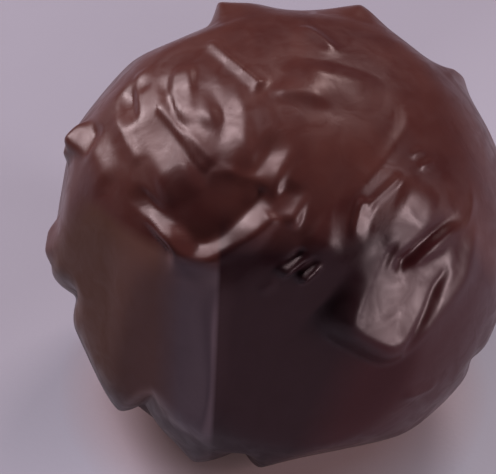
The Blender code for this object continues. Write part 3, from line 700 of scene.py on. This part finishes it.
class Shades:
    """Builds one shader tree on a Principled material."""

    def __init__(self, name: str) -> None:
        """Starts a material with its Principled shader."""
        self.material = bpy.data.materials.new(name)
        self.material.use_nodes = True
        self.tree = self.material.node_tree
        self.shader = self.tree.nodes["Principled BSDF"]
        self.coordinates = self.tree.nodes.new("ShaderNodeTexCoord").outputs["Object"]

    def set(self, name: str, value: Any) -> None:
        """Sets one of the shader's inputs, or joins a socket to it."""
        if isinstance(value, Socket):
            self.tree.links.new(value, self.shader.inputs[name])
        else:
            self.shader.inputs[name].default_value = value

    def noise(self, scale: float, detail: float = 3.0, distortion: float = 0.0) -> Socket:
        """Returns a noise pattern, from 0 to 1, over the object's own coordinates."""
        node = self.tree.nodes.new("ShaderNodeTexNoise")
        node.inputs["Scale"].default_value = scale
        node.inputs["Detail"].default_value = detail
        node.inputs["Distortion"].default_value = distortion
        self.tree.links.new(self.coordinates, node.inputs["Vector"])
        return node.outputs[0]

    def ramp(self, value: Socket, low: float, high: float, start: float = 0.35, end: float = 0.65) -> Socket:
        """Returns the pattern stretched from between start and end to between low and high."""
        node = self.tree.nodes.new("ShaderNodeMapRange")
        for name, number in (("From Min", start), ("From Max", end), ("To Min", low), ("To Max", high)):
            node.inputs[name].default_value = number
        self.tree.links.new(value, node.inputs["Value"])
        return node.outputs["Result"]

    def mix(self, share: Socket, first: Colour | Socket, second: Colour | Socket) -> Socket:
        """Returns two colours mixed by a pattern."""
        node = self.tree.nodes.new("ShaderNodeMix")
        node.data_type = "RGBA"
        self.tree.links.new(share, node.inputs["Factor"])
        colours = [socket for socket in node.inputs if socket.type == "RGBA"]
        for socket, colour in zip(colours, (first, second)):
            if isinstance(colour, Socket):
                self.tree.links.new(colour, socket)
            else:
                socket.default_value = (*colour, 1.0)
        return next(socket for socket in node.outputs if socket.type == "RGBA")

    def along(self, heading: tuple[float, float, float]) -> Socket:
        """Returns how far, in mm, each point lies along a heading in the object's own axes."""
        node = self.tree.nodes.new("ShaderNodeVectorMath")
        node.operation = "DOT_PRODUCT"
        self.tree.links.new(self.coordinates, node.inputs[0])
        node.inputs[1].default_value = Vector(heading) / MM
        return node.outputs["Value"]

    def off_axis(self) -> Socket:
        """Returns how far, in metres, each point of a flat piece lies from the object's origin."""
        node = self.tree.nodes.new("ShaderNodeVectorMath")
        node.operation = "LENGTH"
        self.tree.links.new(self.coordinates, node.inputs[0])
        return node.outputs["Value"]

    def math(self, operation: str, first: Socket, second: Socket) -> Socket:
        """Returns two patterns joined by a Math node."""
        node = self.tree.nodes.new("ShaderNodeMath")
        node.operation = operation
        self.tree.links.new(first, node.inputs[0])
        self.tree.links.new(second, node.inputs[1])
        return node.outputs[0]

    def product(self, *shares: Socket) -> Socket:
        """Returns the patterns multiplied together."""
        result = shares[0]
        for share in shares[1:]:
            result = self.math("MULTIPLY", result, share)
        return result

    def bump(self, layers: Sequence[tuple[Socket, float]]) -> Socket:
        """Returns a normal roughened by patterns, each with its depth in metres."""
        normal: Optional[Socket] = None
        for height, depth in layers:
            node = self.tree.nodes.new("ShaderNodeBump")
            node.inputs["Strength"].default_value = 1.0
            node.inputs["Distance"].default_value = depth
            self.tree.links.new(height, node.inputs["Height"])
            if normal is not None:
                self.tree.links.new(normal, node.inputs["Normal"])
            normal = node.outputs["Normal"]
        return normal


@dataclass(frozen=True)
class SatinChocolate:
    """Tempered milk chocolate with a satin shine, slightly uneven from the hands, with painted light and shade on its
    front wall.
    """

    dark: Colour = (0.059, 0.0155, 0.014)
    light: Colour = (0.092, 0.0285, 0.023)
    gloss_refraction: float = 1.38
    gloss_tint: Colour = (1.0, 0.78, 0.78)
    roughness: tuple[float, float] = (0.28, 0.42)
    cloud_scale: float = 160.0
    smear_scale: float = 700.0
    grain_scale: float = 3200.0
    smear_depth: float = 0.02 * MM
    grain_depth: float = 0.0022 * MM
    # Painted light and shade on the front wall. Its left half is the lit side: pale is its painted lit tone, warmed
    # by a painted warm light towards the upright edge.
    pale: Colour = (0.080, 0.028, 0.014)
    painted_warm_light: Colour = (0.140, 0.062, 0.048)
    # A painted grey sheen: the reflection along the left side of the upright edge.
    painted_sheen: Colour = (0.118, 0.077, 0.090)
    # Painted shade on the right half of the front wall: deep next to the upright edge, maroon further right.
    painted_deep_shade: Colour = (0.021, 0.006, 0.008)
    painted_maroon_shade: Colour = (0.040, 0.007, 0.008)
    edge_at: float = -4.4
    edge_lean: float = 0.045
    edge_soft: float = 0.15
    warm_light_reach: tuple[float, float] = (-6.6, -4.4)
    sheen_reach: tuple[float, float] = (-3.6, -2.0)
    # Painted shade towards the foot of the lit left half.
    painted_foot_shade: Colour = (0.055, 0.036, 0.038)
    foot_shade_reach: tuple[float, float] = (7.0, 10.5)
    deep_shade_reach: tuple[float, float] = (-2.2, 0.4)
    deep_shade_lean: float = 0.35
    wall_top: tuple[float, float] = (21.8, 23.2)
    lip_under: tuple[float, float] = (20.8, 21.5)
    wall_dulling: float = 0.12
    wall_back: tuple[float, float] = (-2.0, -0.5)
    wall_heading: tuple[float, float, float] = (0.1, 1.0, 0.3)

    def front_wall(self, shades: Shades, colour: Socket) -> tuple[Socket, Socket]:
        """Paints light and shade on the two halves of the front wall, which meet at its upright edge.

        Args:
            shades: The shader tree to build in.
            colour: The chocolate's colour elsewhere.

        Returns:
            The colour, with a painted lit tone, painted warm light and a painted grey sheen left of the edge, painted
            shade towards the foot there, and painted deep shade right of the edge; and how dull the surface is there.
        """
        across = shades.along((1.0, 0.0, -self.edge_lean))
        edge, soft = self.edge_at, self.edge_soft
        right = shades.ramp(across, 0.0, 1.0, edge - soft, edge + soft)
        height = shades.along((0.0, 0.0, 1.0))
        under = shades.ramp(height, 1.0, 0.0, *self.lip_under)
        # Share of the painted grey sheen, just left of the edge.
        sheen_share = shades.ramp(across, 0.0, 1.0, *(edge + reach for reach in self.sheen_reach))
        # Share of the painted deep shade on the right half, also used to dull it.
        deep_shade_share = shades.ramp(shades.along((1.0, 0.0, -self.deep_shade_lean)), 1.0, 0.0, *self.deep_shade_reach)
        # Painted warm light over the lit left half, towards the edge.
        warm_light_share = shades.ramp(across, 0.0, 1.0, *(edge + reach for reach in self.warm_light_reach))
        lit_side_tone = shades.mix(sheen_share, shades.mix(warm_light_share, self.pale, self.painted_warm_light), self.painted_sheen)
        # Share of the painted shade low on the left half.
        low = shades.ramp(height, 1.0, 0.0, *self.foot_shade_reach)
        lit_half = shades.mix(under, colour, shades.mix(low, lit_side_tone, self.painted_foot_shade))
        # Right of the edge, the painted maroon and deep shade.
        halves = shades.mix(right, lit_half, shades.mix(deep_shade_share, self.painted_maroon_shade, self.painted_deep_shade))
        wall = shades.product(
            shades.ramp(height, 1.0, 0.0, *self.wall_top),
            shades.ramp(shades.along(self.wall_heading), 1.0, 0.0, *self.wall_back),
        )
        return shades.mix(wall, colour, halves), shades.product(wall, under, deep_shade_share)

    def material(self) -> bpy.types.Material:
        """Builds the chocolate's material."""
        shades = Shades("satin_chocolate")
        clouds = shades.noise(self.cloud_scale, 4.0, 0.4)
        smears = shades.noise(self.smear_scale, 2.0, 0.8)
        grain = shades.noise(self.grain_scale, 2.0)
        colour = shades.mix(shades.ramp(clouds, 0.0, 1.0), self.dark, self.light)
        colour, dull = self.front_wall(shades, colour)
        shades.set("Base Color", colour)
        dulling = shades.ramp(dull, 0.0, self.wall_dulling, 0.0, 1.0)
        shades.set("Roughness", shades.math("ADD", shades.ramp(smears, *self.roughness), dulling))
        shades.set("IOR", self.gloss_refraction)
        shades.set("Specular Tint", (*self.gloss_tint, 1.0))
        shades.set("Normal", shades.bump(((smears, self.smear_depth), (grain, self.grain_depth))))
        return shades.material


@dataclass(frozen=True)
class PaleBoard:
    """A plain, pale lilac board with a faint tooth, a painted warm bounce and contact shade near the truffle, and a
    painted glow of fill light that is brighter towards the front right.
    """

    colour: Colour = (0.328, 0.302, 0.366)
    shade: Colour = (0.308, 0.283, 0.343)
    # Painted warm bounce light and contact shade on the board near the truffle.
    painted_bounce: Colour = (0.355, 0.225, 0.23)
    painted_contact_reach: tuple[float, float] = (9 * MM, 15 * MM)
    roughness: float = 0.6
    # Painted fill light: the board glows, brighter towards the front right and dimmer under the truffle as a painted
    # contact shadow.
    glow: tuple[float, float] = (0.02, 0.52)
    glow_heading: tuple[float, float, float] = (0.707, -0.707, 0.0)
    glow_reach: float = 20.0
    glow_under: float = 0.4
    cloud_scale: float = 25.0
    tooth_scale: float = 2500.0
    tooth_depth: float = 0.01 * MM

    def material(self) -> bpy.types.Material:
        """Builds the board's material."""
        shades = Shades("pale_board")
        plain = shades.mix(shades.ramp(shades.noise(self.cloud_scale), 0.0, 1.0), self.shade, self.colour)
        # Share of the painted warm bounce and contact shade near the truffle.
        near = shades.ramp(shades.off_axis(), 1.0, 0.0, *self.painted_contact_reach)
        colour = shades.mix(near, plain, self.painted_bounce)
        # The painted glow of fill light, dimmed near the truffle as a painted contact shadow.
        glow = shades.ramp(shades.along(self.glow_heading), *self.glow, -self.glow_reach, self.glow_reach)
        shaded = shades.ramp(shades.off_axis(), self.glow_under, 1.0, *self.painted_contact_reach)
        shades.set("Base Color", colour)
        shades.set("Roughness", self.roughness)
        shades.set("Emission Color", colour)
        shades.set("Emission Strength", shades.product(glow, shaded))
        shades.set("Normal", shades.bump(((shades.noise(self.tooth_scale, 2.0), self.tooth_depth),)))
        return shades.material


@dataclass
class Board:
    """The floor that the truffle rests on."""

    half_side: float = 0.6

    def build(self, material: bpy.types.Material) -> bpy.types.Object:
        """Lays the board at Z = 0."""
        side = self.half_side
        mesh = bpy.data.meshes.new("board")
        mesh.from_pydata([(-side, -side, 0), (side, -side, 0), (side, side, 0), (-side, side, 0)], [], [(0, 1, 2, 3)])
        mesh.materials.append(material)
        board = bpy.data.objects.new("board", mesh)
        bpy.context.scene.collection.objects.link(board)
        return board


@dataclass(frozen=True)
class Softbox:
    """A rectangular area light, aimed at the middle of the ball. Roll turns it, in degrees."""

    name: str
    place: Vector
    width: float
    height: float
    power: float
    colour: tuple[float, float, float]
    roll: float = 0.0

    def hang(self, target: Vector) -> bpy.types.Object:
        """Puts the light up, facing the target, and returns it."""
        light = bpy.data.lights.new(self.name, "AREA")
        light.shape = "RECTANGLE"
        light.size, light.size_y = self.width, self.height
        light.energy, light.color = self.power, self.colour
        lamp = bpy.data.objects.new(self.name, light)
        bpy.context.scene.collection.objects.link(lamp)
        lamp.location = self.place
        lamp.rotation_mode = "QUATERNION"
        aim = (target - self.place).to_track_quat("-Z", "Y")
        lamp.rotation_quaternion = aim @ Quaternion((0.0, 0.0, 1.0), math.radians(self.roll))
        return lamp


@dataclass
class Studio:
    """The lights, the air and the camera round the ball's centre. Lengths in metres."""

    centre: Vector
    distance: float = 0.110
    frame_width: float = 32.14 * MM
    aside: tuple[float, float] = (1.81 * MM, 0.13 * MM)
    sensor: float = 36.0
    air: tuple[float, float, float] = (0.85, 0.78, 0.9)
    air_strength: float = 0.045
    boxes: list[Softbox] = field(default_factory=list)

    def mirror(self, faces: Place, away: float) -> Vector:
        """Finds where a light must hang to be mirrored by a face of the shown side.

        Args:
            faces: The way the face looks, as a place on the shown side.
            away: The light's distance from the ball's centre.

        Returns:
            The light's place.
        """
        view = Side.SHOWN.axes()[2]
        normal = Side.SHOWN.direction(faces)
        return self.centre + away * (2 * normal.dot(view) * normal - view)

    def light(self) -> None:
        """Hangs the soft lights and fills the air with a faint one."""
        self.boxes = [
            Softbox("window", Vector((-0.241, 0.1545, 0.320)), 0.07, 0.39, 1.95, (1.0, 0.93, 0.98)),
            Softbox("side_panel", self.mirror((31.5, -3), 0.36), 0.04, 0.23, 0.82, (1.0, 0.93, 0.98), -35.0),
            Softbox("top_panel", self.mirror((13.5, 40.5), 0.66), 0.20, 0.15, 1.45, (1.0, 0.86, 0.84)),
        ]
        for box in self.boxes:
            box.hang(self.centre)
        world = bpy.data.worlds.new("soft_air")
        world.use_nodes = True
        background = world.node_tree.nodes["Background"]
        background.inputs["Color"].default_value = (*self.air, 1.0)
        background.inputs["Strength"].default_value = self.air_strength
        bpy.context.scene.world = world
        bpy.context.scene.view_settings.view_transform = "Standard"

    def camera(self) -> bpy.types.Object:
        """Sets the camera up on the shown side's axis and makes it the scene's own."""
        right, up, outward = Side.SHOWN.axes()
        data = bpy.data.cameras.new("camera")
        data.sensor_width = self.sensor
        data.lens = self.sensor * self.distance / self.frame_width
        data.clip_start = MM
        camera = bpy.data.objects.new("camera", data)
        bpy.context.scene.collection.objects.link(camera)
        camera.location = self.centre + self.distance * outward - self.aside[0] * right - self.aside[1] * up
        camera.rotation_mode = "QUATERNION"
        camera.rotation_quaternion = (-outward).to_track_quat("-Z", "Y")
        bpy.context.scene.camera = camera
        return camera


def main() -> None:
    """Builds the truffle, its board, the lights and the camera, in that order."""
    logging.basicConfig(level=logging.INFO, format="%(name)s: %(message)s")
    rolled = Truffle()
    truffle = rolled.build(SatinChocolate().material())
    LOG.info("%s: %d triangles", truffle.name, sum(len(face.vertices) - 2 for face in truffle.data.polygons))
    board = Board().build(PaleBoard().material())
    LOG.info("%s: laid", board.name)
    studio = Studio(centre=Vector((0.0, 0.0, rolled.foot_depth)))
    studio.light()
    camera = studio.camera()
    LOG.info("%s: set, with %d lights", camera.name, len(studio.boxes))


if __name__ == "__main__":
    main()
